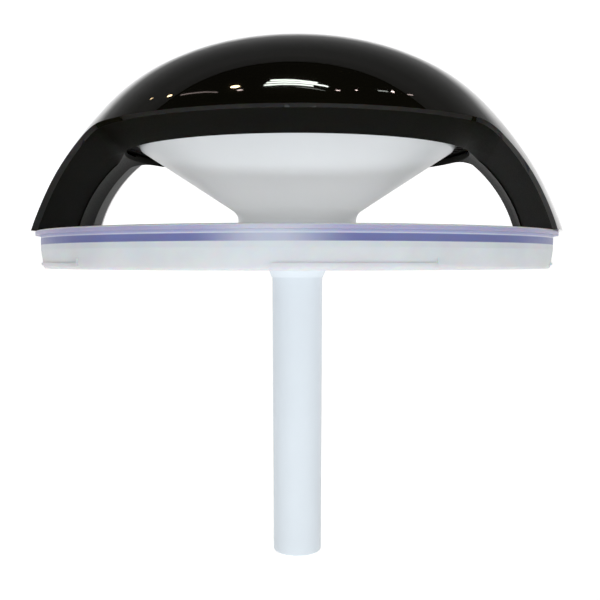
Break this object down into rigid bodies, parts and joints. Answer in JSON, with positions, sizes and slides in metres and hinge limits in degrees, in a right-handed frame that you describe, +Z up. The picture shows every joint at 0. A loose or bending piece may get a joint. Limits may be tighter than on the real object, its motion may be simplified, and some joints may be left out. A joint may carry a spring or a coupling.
{
  "type": "air washer drive head",
  "caption": "Gloss dome on two wide legs over a white funnel with a fan, on a round clear lid that drops into a bowl, with a down-tube and stirring spindle.",
  "frame": {"origin": "on the spindle axis, in the plane of the underside of the lid's lip, where the bowl's rim meets it", "axes": "+Z up along the spindle axis, X through the two legs, -Y the front"},
  "size_m": [0.2326, 0.229, 0.2307],
  "materials": {
    "cover_gloss": "high gloss",
    "liner_satin": "satin",
    "housing_white": "satin",
    "grille_black": "matte",
    "mount_white": "satin",
    "motor_steel": "plain plated",
    "bell_plastic": "moulded",
    "magnet_dark": "ground ferrite",
    "bush_bronze": "sintered",
    "contact_brass": "stamped",
    "core_steel": "stamped stack",
    "winding_copper": "enamelled wire",
    "commutator_copper": "turned",
    "shaft_steel": "ground",
    "fan_plastic": "moulded",
    "nut_brass": "turned",
    "coupling_brass": "turned",
    "screw_dark": "blackened",
    "rotor_white": "moulded",
    "stem_white": "satin",
    "bush_white": "moulded",
    "ring_white": "moulded",
    "gasket_rubber": "soft",
    "lid_clear": "clear, faintly frosted",
    "guide_violet": "tinted, clear",
    "board_white": "solder mask",
    "led_clear": "moulded lens",
    "base_frosted": "frosted",
    "board_green": "solder mask",
    "component_black": "moulded",
    "switch_black": "moulded",
    "button_gloss": "high gloss",
    "spring_steel": "drawn wire",
    "jack_black": "moulded",
    "nut_steel": "plated",
    "pin_brass": "turned",
    "lead_black": "satin sleeve",
    "lead_red": "satin sleeve",
    "lead_white": "satin sleeve",
    "screw_steel": "zinc plated"
  },
  "bodies": {
    "head": {"top_cover": "cover_gloss", "arch_liner": "liner_satin", "funnel_housing": "housing_white", "inlet_grille": "grille_black", "motor_mount": "mount_white", "motor_can": "motor_steel", "motor_end_bell": "bell_plastic", "motor_magnets": "magnet_dark", "motor_bushes": "bush_bronze", "motor_brushes": "contact_brass", "stem_tube": "stem_white", "stem_foot_bush": "bush_white", "stem_lock_ring": "ring_white", "neck_gasket": "gasket_rubber", "lid": "lid_clear", "light_guide": "guide_violet", "led_board": "board_white", "leds": "led_clear", "base_plate": "base_frosted", "control_board": "board_green", "board_parts": "component_black", "button_switch": "switch_black", "button_spring": "spring_steel", "power_jack": "jack_black", "jack_nut": "nut_steel", "jack_pin": "pin_brass", "jack_lead": "lead_black", "motor_leads": "lead_red", "lamp_lead": "lead_white", "cover_screws": "screw_steel", "base_screws": "screw_steel", "housing_screws": "screw_steel", "board_screws": "screw_steel", "mount_screws": "screw_steel", "motor_screws": "screw_steel"},
    "spindle": {"motor_shaft": "shaft_steel", "rotor_core": "core_steel", "rotor_windings": "winding_copper", "commutator": "commutator_copper", "fan_impeller": "fan_plastic", "fan_nut": "nut_brass", "shaft_coupling": "coupling_brass", "grub_screws": "screw_dark", "drive_shaft": "shaft_steel", "water_rotor": "rotor_white"},
    "power_button": {"power_button": "button_gloss"}
  },
  "joints": [
    {"name": "spindle_spin", "type": "hinge", "parent": "head", "child": "spindle", "pos_m": [0, 0, 0], "axis": [0, 0, 1], "continuous": true},
    {"name": "button_press", "type": "slide", "parent": "head", "child": "power_button", "axis": [0, 0, -1], "range_m": [0, 0.0012], "stiffness_N_per_m": 250, "springref_m": -0.004, "deforming": ["button_spring"]}
  ]
}
